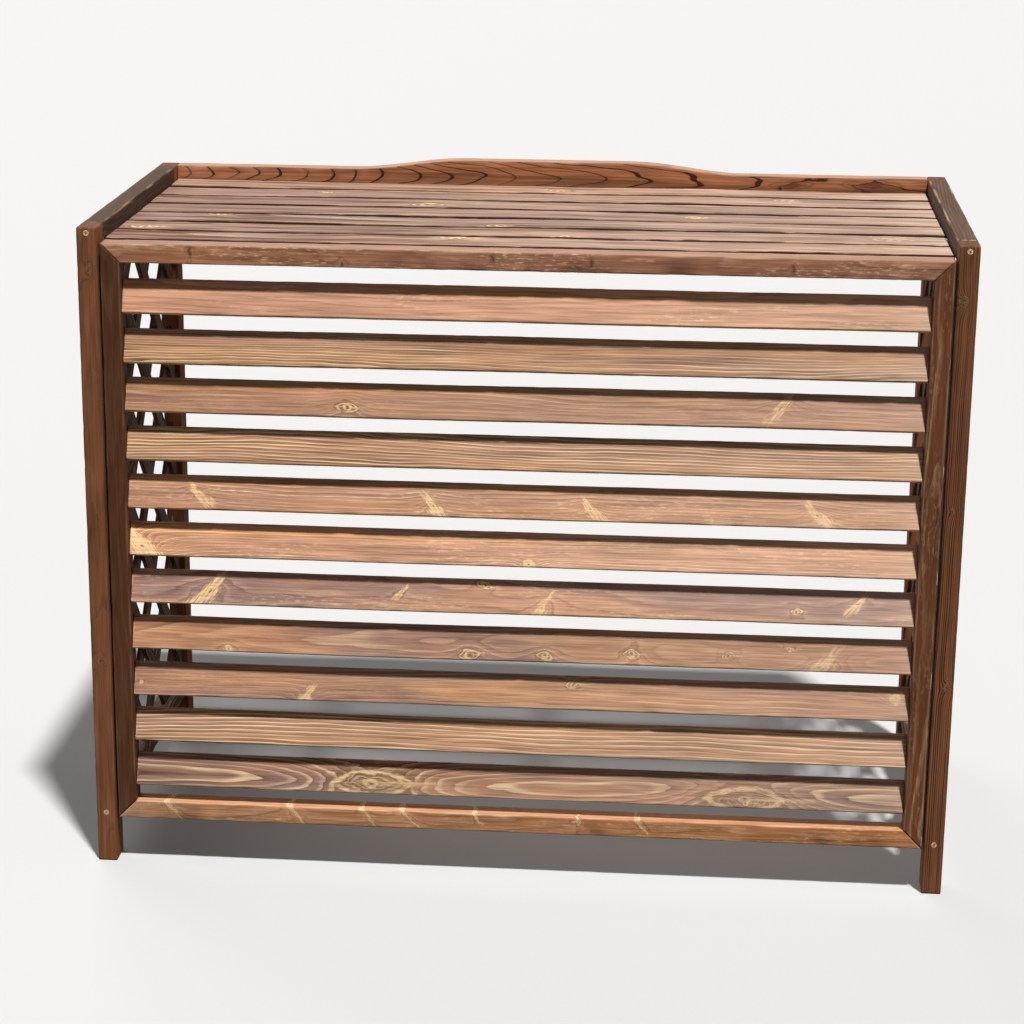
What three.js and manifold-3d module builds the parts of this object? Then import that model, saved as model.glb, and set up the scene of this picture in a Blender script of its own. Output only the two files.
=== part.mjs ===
// A wooden screen that stands over an outdoor air conditioner: two lattice sides, a louvred front
// and a slatted top with a low shaped rail along its back edge. The back and the underside are open.
// Millimetres. +X is to the right, +Y away from the front, +Z up. The origin is on the ground, under
// the middle of the screen.

import * as THREE from "three";
import { mergeVertices } from "three/addons/utils/BufferGeometryUtils.js";
import Module from "manifold-3d";

const wasm = await Module();
wasm.setup();

// Whole screen
const SCREEN_WIDTH = 1100;
const SCREEN_DEPTH = 550;
const SCREEN_HEIGHT = 840;
const LEG_HEIGHT = 61; // clear height under the bottom rails

// Joints and edges
const SEAT_GAP = 0.3; // left between a piece and what it sits against
const EDGE_EASE = 1.5; // width of the chamfer planed along the edges of each stick
const CUT_OVERRUN = 5; // how far a cutting shape runs past the piece that it cuts

// Posts and side rails
const POST_WIDTH = 25; // across X
const POST_DEPTH = 40; // across Y
const SIDE_RAIL_HEIGHT = 25;

// Lattice in the sides
const LATTICE_STRIP_WIDTH = 25;
const LATTICE_STRIP_THICKNESS = 6;
const LATTICE_PITCH = 100; // between the middles of neighbouring strips
const LATTICE_LAP = 0.5; // how deep the two layers of strips are let into each other
const LATTICE_SHIFT_BACK = -8; // from the middle of the side to the middle of a lattice hole
const LATTICE_SHIFT_UP = -28;

// Front frame
const FRAME_STICK_WIDTH = 24; // seen from the front
const FRAME_STICK_DEPTH = 30; // front to back
const FRAME_RECESS = 2; // behind the front faces of the posts
const FRAME_SIDE_GAP = 3.3; // open line between the frame and each post
const FRAME_TOP_DROP = 19.5; // the frame and the deck lie this far below the tops of the posts

// Louvres
const LOUVRE_WIDTH = 44;
const LOUVRE_THICKNESS = 10;
const LOUVRE_GAP = 22; // clear height over each louvre, about: the rows are spread evenly
const LOUVRE_TILT = 21.5; // degrees from upright, foot to the front
const LOUVRE_RECESS = 3; // from the frame's front face to a louvre's foot

// Deck and the battens that carry it
const DECK_SLAT_WIDTH = 62;
const DECK_SLAT_THICKNESS = 12;
const DECK_SLAT_END_GAP = 2; // from a slat's end to the side rail
const DECK_GAP = 8.4; // between slats, about: they are spread evenly
const BATTEN_WIDTH = 30;
const BATTEN_THICKNESS = 12;
const BATTEN_SIDE_GAP = 21; // from the outer battens to the side rails
const BATTEN_SPACING = 326; // between the battens' middles, about: they are spread evenly

// Back rail
const BACK_RAIL_THICKNESS = 25;
const BACK_RAIL_HEIGHT = 60;
const CROWN_RISE = 14; // its raised middle
const CROWN_HALF_FLAT = 116;
const CROWN_HALF_SPAN = 271;

// Screws through the front posts into the ends of the side rails
const SCREW_HEAD_DIAMETER = 8;
const SCREW_SHANK_DIAMETER = 4;
const SCREW_LENGTH = 60;
const SCREW_EDGE_DISTANCE = 7; // from the outer edge of the rail to the screw
const SCREW_SLOT_LENGTH = 4.6;
const SCREW_SLOT_WIDTH = 1.1;
const SCREW_SLOT_DEPTH = 1.4;

// Places that several pieces share
const FRONT_Y = -SCREEN_DEPTH / 2;
const BACK_Y = SCREEN_DEPTH / 2;
const POST_CENTRE_X = (SCREEN_WIDTH - POST_WIDTH) / 2;
const POST_INNER_X = SCREEN_WIDTH / 2 - POST_WIDTH;
const POST_CENTRE_Y = (SCREEN_DEPTH - POST_DEPTH) / 2;
const SIDE_RAIL_LENGTH = SCREEN_DEPTH - 2 * (POST_DEPTH + SEAT_GAP);
const DECK_TOP_Z = SCREEN_HEIGHT - FRAME_TOP_DROP;
const FRAME_FRONT_Y = FRONT_Y + FRAME_RECESS;
const FRAME_BACK_Y = FRAME_FRONT_Y + FRAME_STICK_DEPTH;
const FRAME_HALF_WIDTH = POST_INNER_X - FRAME_SIDE_GAP;
const BACK_RAIL_FRONT_Y = BACK_Y - BACK_RAIL_THICKNESS;

// Wood colours
const DARK_WOOD = 0x5f3a22;
const FRAME_WOOD = 0x7a4c2e;
const LOUVRE_WOOD = 0xa06a48;
const DECK_WOOD = 0x9a7b6a;
const BACK_WOOD = 0x9c5b36;
const STEEL = 0x8d8a84;

function wood(color) {
  return new THREE.MeshStandardMaterial({ color, roughness: 0.72, metalness: 0 });
}

function steel() {
  return new THREE.MeshStandardMaterial({ color: STEEL, roughness: 0.38, metalness: 0.9 });
}

function named(name, geometry, material) {
  const mesh = new THREE.Mesh(geometry, material);
  mesh.name = name;
  return mesh;
}

// Solids for cutting and joining

function solidOf(geometry) {
  const bare = geometry.clone();
  bare.deleteAttribute("normal");
  bare.deleteAttribute("uv");
  const merged = mergeVertices(bare);
  return new wasm.Manifold(
    new wasm.Mesh({
      numProp: 3,
      vertProperties: merged.attributes.position.array,
      triVerts: new Uint32Array(merged.index.array),
    }),
  );
}

function geometryOf(solid) {
  const mesh = solid.getMesh();
  const geometry = new THREE.BufferGeometry();
  geometry.setAttribute("position", new THREE.BufferAttribute(new Float32Array(mesh.vertProperties), 3));
  geometry.setIndex(new THREE.BufferAttribute(new Uint32Array(mesh.triVerts), 1));
  const faceted = geometry.toNonIndexed();
  faceted.computeVertexNormals();
  return faceted;
}

// Sticks and boards

// An outline in X and Y, given a thickness along Z, with its edges eased on both faces.
function easedBoard(outline, thickness) {
  const geometry = new THREE.ExtrudeGeometry(outline, {
    depth: thickness - 2 * EDGE_EASE,
    bevelEnabled: true,
    bevelThickness: EDGE_EASE,
    bevelSize: EDGE_EASE,
    bevelOffset: -EDGE_EASE,
    bevelSegments: 1,
    curveSegments: 10,
  });
  return geometry.translate(0, 0, EDGE_EASE - thickness / 2);
}

function polygon(points) {
  return new THREE.Shape(points.map(([x, y]) => new THREE.Vector2(x, y)));
}

// A straight stick: length along X, width along Y, thickness along Z, centred on the origin.
function stick(length, width, thickness) {
  const outline = polygon([
    [-length / 2, -width / 2],
    [length / 2, -width / 2],
    [length / 2, width / 2],
    [-length / 2, width / 2],
  ]);
  return easedBoard(outline, thickness);
}

// Turns a stick so that its length runs along Z and its width along X.
function upright(geometry) {
  return geometry.rotateX(Math.PI / 2).rotateY(Math.PI / 2);
}

// Turns a stick so that its length runs along Y and its width along Z.
function frontToBack(geometry) {
  return geometry.rotateX(Math.PI / 2).rotateZ(Math.PI / 2);
}

// Screws

const SCREW_RADIUS = SCREW_SHANK_DIAMETER / 2;
const SCREW_HEAD_RADIUS = SCREW_HEAD_DIAMETER / 2;
const SCREW_HEAD_HEIGHT = SCREW_HEAD_RADIUS - SCREW_RADIUS; // the countersink is at 45 degrees
const SCREW_SIDES = 16;

// A countersunk screw or, grown by a clearance, the hole for it. The head's face is at Y zero and
// the point runs towards +Y.
function screwShape(clearance, headOverrun) {
  const headRadius = SCREW_HEAD_RADIUS + clearance;
  const shankRadius = SCREW_RADIUS + clearance;
  const pointLength = SCREW_SHANK_DIAMETER + clearance;
  const profile = [
    new THREE.Vector2(0, -SCREW_LENGTH - clearance),
    new THREE.Vector2(shankRadius, -SCREW_LENGTH - clearance + pointLength),
    new THREE.Vector2(shankRadius, -SCREW_HEAD_HEIGHT),
    new THREE.Vector2(headRadius, 0),
  ];
  if (headOverrun > 0) profile.push(new THREE.Vector2(headRadius, headOverrun));
  profile.push(new THREE.Vector2(0, headOverrun));
  return new THREE.LatheGeometry(profile, SCREW_SIDES).rotateX(Math.PI);
}

function screwBody() {
  let solid = solidOf(screwShape(0, 0));
  const slot = new THREE.BoxGeometry(SCREW_SLOT_LENGTH, 2 * SCREW_SLOT_DEPTH, SCREW_SLOT_WIDTH);
  for (const turn of [0, Math.PI / 2]) {
    solid = solid.subtract(solidOf(slot.clone().rotateY(turn)));
  }
  return geometryOf(solid);
}

const SCREW_TOP_Z = SCREEN_HEIGHT - SCREW_EDGE_DISTANCE;
const SCREW_BOTTOM_Z = LEG_HEIGHT + SCREW_EDGE_DISTANCE;

// Sides

// Cuts the two screw holes, which lie at the heights given, out of a piece centred at pieceY, pieceZ.
function drilled(geometry, pieceY, pieceZ, heights) {
  let solid = solidOf(geometry);
  for (const z of heights) {
    const hole = screwShape(SEAT_GAP, CUT_OVERRUN).translate(0, FRONT_Y - pieceY, z - pieceZ);
    solid = solid.subtract(solidOf(hole));
  }
  return geometryOf(solid);
}

// One layer of parallel strips. A strip that only clips a corner of the opening, and is too short
// there to be sure of crossing a strip of the other layer, is left out.
function latticeLayer(side, direction, height, length) {
  const reach = height + length;
  const rows = Math.ceil(reach / LATTICE_PITCH);
  const layerX = (side * direction * (LATTICE_STRIP_THICKNESS - LATTICE_LAP)) / 2;
  let layer = null;
  for (let row = -rows; row < rows; row += 1) {
    const offset = (row + 1 / 2) * LATTICE_PITCH;
    const shift = Math.sign(offset) * (direction * LATTICE_SHIFT_BACK - LATTICE_SHIFT_UP);
    const cornerOffset = (reach / 2 + shift) / Math.SQRT2;
    const innerEdge = 2 * (cornerOffset - Math.abs(offset)) + LATTICE_STRIP_WIDTH;
    if (innerEdge < LATTICE_PITCH) continue;
    const strip = new THREE.BoxGeometry(LATTICE_STRIP_THICKNESS, reach, LATTICE_STRIP_WIDTH);
    strip.translate(0, 0, offset);
    strip.rotateX((direction * Math.PI) / 4);
    strip.translate(layerX, LATTICE_SHIFT_BACK, LATTICE_SHIFT_UP);
    const solid = solidOf(strip);
    layer = layer ? layer.add(solid) : solid;
  }
  return layer;
}

// The two layers of strips, cut to the opening that the posts and rails leave.
function latticePanel(side) {
  const length = SIDE_RAIL_LENGTH;
  const height = SCREEN_HEIGHT - LEG_HEIGHT - 2 * (SIDE_RAIL_HEIGHT + SEAT_GAP);
  const opening = solidOf(new THREE.BoxGeometry(POST_WIDTH, length, height));
  const rising = latticeLayer(side, 1, height, length);
  const falling = latticeLayer(side, -1, height, length);
  return geometryOf(rising.add(falling).intersect(opening));
}

function sidePanel(prefix, side) {
  const group = new THREE.Group();
  group.position.x = side * POST_CENTRE_X;
  const postMiddleZ = SCREEN_HEIGHT / 2;
  const post = () => upright(stick(SCREEN_HEIGHT, POST_WIDTH, POST_DEPTH));
  const rail = () => frontToBack(stick(SIDE_RAIL_LENGTH, SIDE_RAIL_HEIGHT, POST_WIDTH));
  const topRailZ = SCREEN_HEIGHT - SIDE_RAIL_HEIGHT / 2;
  const bottomRailZ = LEG_HEIGHT + SIDE_RAIL_HEIGHT / 2;

  const frontPostHoles = [SCREW_TOP_Z, SCREW_BOTTOM_Z];
  const frontPostShape = drilled(post(), -POST_CENTRE_Y, postMiddleZ, frontPostHoles);
  const frontPost = named(prefix + "_front_post", frontPostShape, wood(DARK_WOOD));
  frontPost.position.set(0, -POST_CENTRE_Y, postMiddleZ);
  const backPost = named(prefix + "_back_post", post(), wood(DARK_WOOD));
  backPost.position.set(0, POST_CENTRE_Y, postMiddleZ);

  const topRailShape = drilled(rail(), 0, topRailZ, [SCREW_TOP_Z]);
  const topRail = named(prefix + "_top_rail", topRailShape, wood(DARK_WOOD));
  topRail.position.z = topRailZ;
  const bottomRailShape = drilled(rail(), 0, bottomRailZ, [SCREW_BOTTOM_Z]);
  const bottomRail = named(prefix + "_bottom_rail", bottomRailShape, wood(DARK_WOOD));
  bottomRail.position.z = bottomRailZ;

  const lattice = named(prefix + "_lattice", latticePanel(side), wood(DARK_WOOD));
  lattice.position.z = (topRailZ + bottomRailZ) / 2;

  const topScrew = named(prefix + "_top_screw", screwBody(), steel());
  topScrew.position.set(0, FRONT_Y, SCREW_TOP_Z);
  const bottomScrew = named(prefix + "_bottom_screw", screwBody(), steel());
  bottomScrew.position.set(0, FRONT_Y, SCREW_BOTTOM_Z);

  group.add(frontPost, backPost, topRail, bottomRail, lattice, topScrew, bottomScrew);
  return group;
}

// Front frame with its louvres

// Four mitred sticks round the opening. Each outline is drawn in X and Z, seen from the front.
function frontFrame() {
  const group = new THREE.Group();
  group.position.y = (FRAME_FRONT_Y + FRAME_BACK_Y) / 2;
  const left = -FRAME_HALF_WIDTH;
  const right = FRAME_HALF_WIDTH;
  const bottom = LEG_HEIGHT;
  const top = DECK_TOP_Z;
  const wide = FRAME_STICK_WIDTH;
  const inset = SEAT_GAP / 2; // the two sticks of a mitre each stand back from it
  const outlines = {
    front_top_rail: [
      [left + inset, top],
      [left + wide + inset, top - wide],
      [right - wide - inset, top - wide],
      [right - inset, top],
    ],
    front_bottom_rail: [
      [left + inset, bottom],
      [right - inset, bottom],
      [right - wide - inset, bottom + wide],
      [left + wide + inset, bottom + wide],
    ],
    front_left_stile: [
      [left, bottom + inset],
      [left + wide, bottom + wide + inset],
      [left + wide, top - wide - inset],
      [left, top - inset],
    ],
    front_right_stile: [
      [right, bottom + inset],
      [right, top - inset],
      [right - wide, top - wide - inset],
      [right - wide, bottom + wide + inset],
    ],
  };
  for (const [name, points] of Object.entries(outlines)) {
    const board = easedBoard(polygon(points), FRAME_STICK_DEPTH).rotateX(Math.PI / 2);
    group.add(named(name, board, wood(FRAME_WOOD)));
  }
  return group;
}

function louvres() {
  const group = new THREE.Group();
  const tilt = THREE.MathUtils.degToRad(LOUVRE_TILT);
  const rise = LOUVRE_WIDTH * Math.cos(tilt);
  const run = LOUVRE_WIDTH * Math.sin(tilt);
  const openingBottom = LEG_HEIGHT + FRAME_STICK_WIDTH;
  const openingHeight = DECK_TOP_Z - FRAME_STICK_WIDTH - openingBottom;
  const count = Math.round((openingHeight - LOUVRE_GAP) / (rise + LOUVRE_GAP));
  const gap = (openingHeight - count * rise) / (count + 1);
  const length = 2 * (FRAME_HALF_WIDTH - FRAME_STICK_WIDTH - SEAT_GAP);
  // From the middle of the front face to the middle of the slat
  const inwardY = (LOUVRE_THICKNESS / 2) * Math.cos(tilt);
  const inwardZ = -(LOUVRE_THICKNESS / 2) * Math.sin(tilt);
  for (let index = 0; index < count; index += 1) {
    const footZ = openingBottom + gap + (count - 1 - index) * (rise + gap);
    const name = "louvre_" + String(index + 1).padStart(2, "0");
    const slat = named(name, stick(length, LOUVRE_WIDTH, LOUVRE_THICKNESS), wood(LOUVRE_WOOD));
    slat.rotation.x = Math.PI / 2 - tilt;
    slat.position.y = FRAME_FRONT_Y + LOUVRE_RECESS + run / 2 + inwardY;
    slat.position.z = footZ + rise / 2 + inwardZ;
    group.add(slat);
  }
  return group;
}

// Deck

// Slats from side to side, the last one against the back rail
function deck() {
  const group = new THREE.Group();
  const zone = BACK_RAIL_FRONT_Y - SEAT_GAP - FRAME_BACK_Y;
  const count = Math.round(zone / (DECK_SLAT_WIDTH + DECK_GAP));
  const pitch = zone / count;
  const slatLength = 2 * (POST_INNER_X - DECK_SLAT_END_GAP);
  for (let index = 0; index < count; index += 1) {
    const shape = stick(slatLength, DECK_SLAT_WIDTH, DECK_SLAT_THICKNESS);
    const slat = named("deck_slat_" + (index + 1), shape, wood(DECK_WOOD));
    const backEdge = BACK_RAIL_FRONT_Y - SEAT_GAP - (count - 1 - index) * pitch;
    slat.position.set(0, backEdge - DECK_SLAT_WIDTH / 2, DECK_TOP_Z - DECK_SLAT_THICKNESS / 2);
    group.add(slat);
  }
  return group;
}

// Flat battens from the front frame's top rail to the back rail, under the slats
function battens() {
  const group = new THREE.Group();
  const length = BACK_RAIL_FRONT_Y - FRAME_BACK_Y - 2 * SEAT_GAP;
  const outerX = POST_INNER_X - BATTEN_SIDE_GAP - BATTEN_WIDTH / 2;
  const spaces = Math.round((2 * outerX) / BATTEN_SPACING);
  const middleY = (BACK_RAIL_FRONT_Y + FRAME_BACK_Y) / 2;
  const middleZ = DECK_TOP_Z - DECK_SLAT_THICKNESS - SEAT_GAP - BATTEN_THICKNESS / 2;
  for (let index = 0; index <= spaces; index += 1) {
    const shape = frontToBack(stick(length, BATTEN_THICKNESS, BATTEN_WIDTH));
    const batten = named("deck_batten_" + (index + 1), shape, wood(DARK_WOOD));
    batten.position.set((index / spaces - 1 / 2) * 2 * outerX, middleY, middleZ);
    group.add(batten);
  }
  return group;
}

// Back rail

// A straight rail whose middle rises in two easy curves to a flat crown. Drawn in X and Z.
function backRail() {
  const half = POST_INNER_X - SEAT_GAP;
  const top = SCREEN_HEIGHT;
  const crown = top + CROWN_RISE;
  const bend = (CROWN_HALF_FLAT + CROWN_HALF_SPAN) / 2;
  const outline = new THREE.Shape();
  outline.moveTo(-half, top - BACK_RAIL_HEIGHT);
  outline.lineTo(half, top - BACK_RAIL_HEIGHT);
  outline.lineTo(half, top);
  outline.lineTo(CROWN_HALF_SPAN, top);
  outline.bezierCurveTo(bend, top, bend, crown, CROWN_HALF_FLAT, crown);
  outline.lineTo(-CROWN_HALF_FLAT, crown);
  outline.bezierCurveTo(-bend, crown, -bend, top, -CROWN_HALF_SPAN, top);
  outline.lineTo(-half, top);
  const board = easedBoard(outline, BACK_RAIL_THICKNESS).rotateX(Math.PI / 2);
  const mesh = named("back_rail", board, wood(BACK_WOOD));
  mesh.position.y = BACK_Y - BACK_RAIL_THICKNESS / 2;
  return mesh;
}

const screen = new THREE.Group();
screen.add(
  sidePanel("left", -1),
  sidePanel("right", 1),
  frontFrame(),
  louvres(),
  deck(),
  battens(),
  backRail(),
);

export default screen;
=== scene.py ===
"""A weathered wooden screen for an air conditioner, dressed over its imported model."""

import math
import random
from typing import NamedTuple

import bmesh
import bpy
import numpy as np
from bpy.props import FloatProperty, FloatVectorProperty, IntProperty, PointerProperty
from mathutils import Matrix, Vector


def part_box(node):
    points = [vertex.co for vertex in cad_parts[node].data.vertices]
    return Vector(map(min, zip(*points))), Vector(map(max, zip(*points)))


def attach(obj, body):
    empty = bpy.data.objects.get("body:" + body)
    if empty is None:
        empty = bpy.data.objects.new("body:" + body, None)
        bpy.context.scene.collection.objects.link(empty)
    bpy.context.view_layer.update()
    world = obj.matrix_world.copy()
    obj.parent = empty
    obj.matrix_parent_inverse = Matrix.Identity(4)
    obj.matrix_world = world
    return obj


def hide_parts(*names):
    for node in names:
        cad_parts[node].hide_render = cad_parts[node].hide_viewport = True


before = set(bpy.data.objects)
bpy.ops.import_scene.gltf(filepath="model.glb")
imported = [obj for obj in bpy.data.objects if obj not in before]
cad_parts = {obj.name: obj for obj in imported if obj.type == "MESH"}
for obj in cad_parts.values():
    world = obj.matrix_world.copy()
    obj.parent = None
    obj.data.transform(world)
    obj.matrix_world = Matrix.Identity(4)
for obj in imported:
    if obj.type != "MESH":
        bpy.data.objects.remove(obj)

bl_info = {
    "name": "Air conditioner screen",
    "version": (1, 0, 0),
    "blender": (4, 5, 0),
    "location": "View3D > Sidebar > Screen",
    "description": "Makes a weathered wooden screen with louvres, lattice sides and a slatted top",
    "category": "Object",
}

SIDES = ("left", "right")
LOUVRE_NODES = tuple(f"louvre_{number:02d}" for number in range(1, 12))
SLAT_NODES = tuple(f"deck_slat_{number}" for number in range(1, 8))
BATTEN_NODES = tuple(f"deck_batten_{number}" for number in range(1, 5))
SCREW_NODES = tuple(f"{side}_{place}_screw" for side in SIDES for place in ("top", "bottom"))
SIDE_RAIL_NODES = tuple(f"{side}_{place}_rail" for side in SIDES for place in ("top", "bottom"))

X, Y, Z = Vector((1, 0, 0)), Vector((0, 1, 0)), Vector((0, 0, 1))
KNOTS = 7  # most knots that one stick can have
RISING, FALLING, DOME = 1, -1, 2  # kinds of knot: two slanting flames and a plain round one
NO_KNOT = (9, 9, 0.001)  # far from every stick
GEOMETRY_OUT = {"Geometry": "Geometry"}


def srgb(red, green, blue):
    """A colour from its everyday numbers up to 255, in the linear values that Blender works with."""
    parts = (part / 255 for part in (red, green, blue))
    return tuple(p / 12.92 if p <= 0.04045 else ((p + 0.055) / 1.055) ** 2.4 for p in parts)


# What a user may change


def length_property(name, description, millimetres):
    return FloatProperty(
        name=name, description=description, default=millimetres / 1000, subtype="DISTANCE", unit="LENGTH"
    )


def colour_property(name, description, *rgb):
    return FloatVectorProperty(
        name=name, description=description, default=srgb(*rgb), min=0, max=1, size=3, subtype="COLOR"
    )


def angle_property(name, description, degrees):
    return FloatProperty(
        name=name, description=description, default=math.radians(degrees), subtype="ANGLE", unit="ROTATION"
    )


class ScreenSizes(bpy.types.PropertyGroup):
    """Sizes of the sticks, their edges and their unevenness."""

    louvre_width: length_property("Louvre width", "Width of a louvre across its face", 44)
    louvre_thickness: length_property("Louvre thickness", "Thickness of a louvre", 10)
    louvre_tilt: angle_property("Louvre tilt", "Angle between a louvre and the upright", 21.5)
    arris: length_property("Arris", "Rounding of the long edges", 1.5)
    step: length_property("Step", "Distance between the mesh's rings along a stick", 8)
    slat_bow: length_property("Slat bow", "How far a louvre wanders from a straight line", 2.4)
    deck_bow: length_property("Deck bow", "How far a slat of the top wanders from a straight line", 8)
    stick_bow: length_property("Stick bow", "How far a post or rail wanders from a straight line", 0.25)
    wear: length_property("Wear", "Depth of the chips in the edges", 1.1)
    strip_width: length_property("Strip width", "Width of a lattice strip", 25)
    strip_thickness: length_property("Strip thickness", "Thickness of a lattice strip", 6)
    strip_lap: length_property("Strip lap", "How far the two layers of strips are let into each other", 0.5)
    lattice_pitch: length_property("Lattice pitch", "Distance between the middles of two strips", 100)
    lattice_back: length_property("Lattice shift back", "From a side's middle back to its lattice's", -8)
    lattice_up: length_property("Lattice shift up", "From a side's middle up to its lattice's", -28)
    crown_rise: length_property("Crown rise", "Height of the back rail's raised middle", 14)
    crown_half_flat: length_property("Crown half flat", "Half the length of the crown's level top", 116)
    crown_half_span: length_property("Crown half span", "Half the length of the whole crown", 271)
    screw_head: length_property("Screw head", "Diameter of a screw's head", 8)
    screw_shank: length_property("Screw shank", "Diameter of a screw's shank", 4)
    screw_length: length_property("Screw length", "Length of a screw", 60)
    seed: IntProperty(name="Seed", description="Changes the unevenness of every stick", default=5)


class ScreenColours(bpy.types.PropertyGroup):
    """Colours of the woods, the screws and the floor."""

    louvre: colour_property("Louvre brown", "Stain on the louvres", 206, 151, 120)
    deck: colour_property("Deck brown", "Stain on the slats of the top", 174, 138, 119)
    gold: colour_property("Golden brown", "Stain where the wood took less of it", 230, 166, 108)
    top_rail: colour_property("Top rail brown", "Stain on the front frame's top rail", 192, 128, 96)
    bottom_rail: colour_property("Bottom rail brown", "Stain on the frame's bottom rail", 204, 134, 84)
    stiles: colour_property("Stile brown", "Stain on the front frame's stiles", 124, 76, 48)
    posts: colour_property("Post brown", "Stain on the four posts", 148, 95, 62)
    side_rails: colour_property("Side rail brown", "Stain on the rails of the two sides", 80, 56, 43)
    back: colour_property("Back brown", "Stain on the back rail and the battens", 176, 118, 82)
    # Painted shade: the lattice brown is darker than its stain, for the shade inside the sides
    lattice: colour_property("Lattice brown in painted shade", "Stain on the lattice strips", 84, 60, 46)
    dark: colour_property("Dark grain", "Stain that has gathered in the soft grain", 104, 68, 48)
    arcs: colour_property("Dark arcs", "Hard grain of the posts and the back rail", 66, 36, 22)
    pale: colour_property("Pale grain", "Hard grain that took little stain", 255, 218, 172)
    cream: colour_property("Knot cream", "Resin wood round the knots", 255, 216, 160)
    # Also the colour of the painted light towards one end of the louvres, the slats and the front frame's
    # rails
    bleached: colour_property("Bleached", "Wood that the sun has bleached", 226, 192, 168)
    grey: colour_property("Weathered grey", "Grey that rain and sun have left", 146, 118, 116)
    steel: colour_property("Screw steel", "Yellow zinc of the screws", 214, 184, 144)
    rust: colour_property("Rust", "Rust in the hollows of the screws", 96, 62, 40)
    floor: colour_property("Floor", "Pale floor under the screen", 226, 225, 223)
    bounce: colour_property("Bounce", "Light that the floor throws back at the screen", 68, 67, 67)


class ScreenStage(bpy.types.PropertyGroup):
    """Light and camera."""

    key: FloatProperty(name="Key light", description="Strength of the main light", default=3.4, min=0)
    softness: angle_property("Softness", "Angle across the main light", 3.5)
    back: FloatProperty(name="Back light", description="Strength of the back light", default=0.9, min=0)
    fill: FloatProperty(name="Fill", description="Strength of the light all round", default=0.074, min=0)
    lens: FloatProperty(name="Lens", description="Focal length in millimetres", default=95.678, min=1)


def sizes():
    return bpy.context.scene.screen_sizes


def colours():
    return bpy.context.scene.screen_colours


# Grain


class Board(NamedTuple):
    """How one stick was cut from its tree, in millimetres from the middle of the stick."""

    pith: tuple = (0, -40)  # where the middle of the tree lies, across the face and out of it
    lean: float = 0  # how far the pith rises along a metre
    rings: float = 3.6  # width of a year ring
    pale: float = 0.5  # how strongly its hard grain shows
    tone: float = 1  # brightness beside its neighbours
    knots: tuple = ()  # each knot's place along and across, radius and kind, an eye if none is given
    grey: float = 0.4  # how far the weather has greyed it
    rough: float = 0.4  # how far its hard grain is broken into flecks
    sky: float = 1  # how far the sun has bleached what faces upwards


LOUVRE_BOARDS = (
    Board((30, -60), 8, 4.5, 0.2, 1.28, (), 0.15, 0.6),
    Board((-34, -20), 5, 2.8, 1.9, 0.92, (), 0.1, 0.1),
    Board((60, -60), 10, 3.4, 0.45, 0.98, ((-219, -10, 10), (321, 3, 8, RISING)), 0.3, 0.2),
    Board((30, -14), 10, 3.2, 2.2, 0.98, (), 0.2, 0.1),
    Board(
        (40, -30), 12, 3.8, 0.55, 1.14,
        ((-407, -2, 7, FALLING), (-108, -9, 8, FALLING), (90, -7, 7, FALLING), (372, -7, 9, FALLING)),
        0.3, 0.5,
    ),
    Board((-70, -20), 6, 3.2, 0.8, 1.36, ((-482, -10, 14, FALLING), (13, -20, 8, DOME)), 0.1, 0.4),
    Board(
        (20, -90), 8, 4.6, 0.3, 1.14,
        ((-397, -5, 11, RISING), (-149, 3, 4, RISING), (-44, 14, 7), (30, -12, 7, RISING), (351, -6, 6),
         (426, 4, 6, RISING)),
        1.0, 0.5,
    ),
    Board(
        (-6, -34), 14, 3.6, 0.5, 0.96,
        ((-371, -18, 5, DOME), (-61, -14, 9), (34, -15, 8), (145, -8, 7), (268, -7, 7), (345, 4, 5),
         (383, -17, 12, RISING)),
        0.9, 0.1,
    ),
    Board(
        (-60, -50), 12, 4.2, 0.55, 0.96,
        ((-274, -20, 9, RISING), (-487, -8, 3, DOME), (70, 11, 7), (480, 6, 7, DOME)),
        0.5, 0.2,
    ),
    Board((-46, -14), 14, 4.6, 2.2, 0.97, (), 0.4, 0.1),
    Board((-4, -12), 12, 4.2, 1.6, 0.83, ((295, -11, 22), (297, -16, 7), (-188, -9, 22)), 0.9, 0.0),
)

SLAT_BOARDS = (
    Board((10, -30), 20, 11, 0.8, 0.98, ((-89, 20, 9),), 0.3, 0.3),
    Board((-20, -50), 12, 9, 0.7, 0.92, ((46, -26, 9), (457, 2, 12), (-492, -11, 9)), 0.7, 0.3),
    Board((24, -26), 22, 12, 0.7, 0.84, ((-411, 24, 8), (-40, -24, 8)), 1.0, 0.2),
    Board((-40, -60), 9, 8, 0.6, 0.88, ((210, 4, 8),), 0.9, 0.2),
    Board((4, -22), 24, 12, 0.8, 0.9, ((-150, -12, 10),), 0.8, 0.2),
    Board((60, -40), 10, 9, 0.6, 0.92, ((330, 10, 9), (-300, 6, 6)), 0.6, 0.2),
    Board((-14, -44), 14, 10, 0.7, 1.06, ((20, -8, 8),), 0.3, 0.2),
)

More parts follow.
